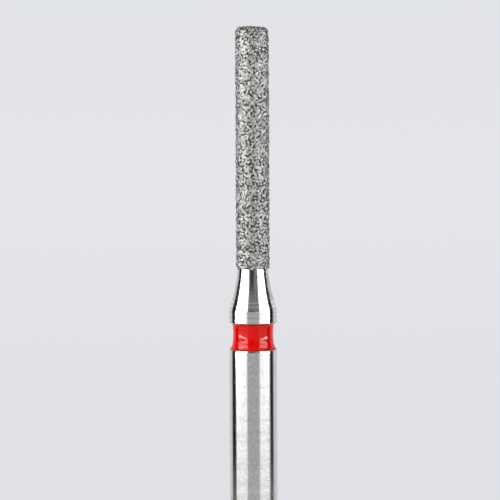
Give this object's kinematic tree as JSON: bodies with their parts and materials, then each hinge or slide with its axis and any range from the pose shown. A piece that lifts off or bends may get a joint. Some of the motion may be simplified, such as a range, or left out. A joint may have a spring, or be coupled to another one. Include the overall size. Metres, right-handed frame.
{
  "type": "dental bur",
  "caption": "Diamond-coated dental bur: long flat-ended cylinder head, flared neck, colour ring in a groove and plain friction-grip shank.",
  "frame": {"origin": "centre of the shank's end face, the end that goes deepest into the handpiece", "axes": "+Z along the bur's axis of rotation, from the shank's end to the tip; X and Y are any two directions across it"},
  "size_m": [0.0016, 0.0016, 0.021],
  "materials": {
    "steel": "satin",
    "diamond_grit": "matte",
    "enamel": "gloss"
  },
  "bodies": {
    "root": {"blank": "steel", "diamond_coating": "diamond_grit", "colour_ring": "enamel"}
  },
  "joints": []
}
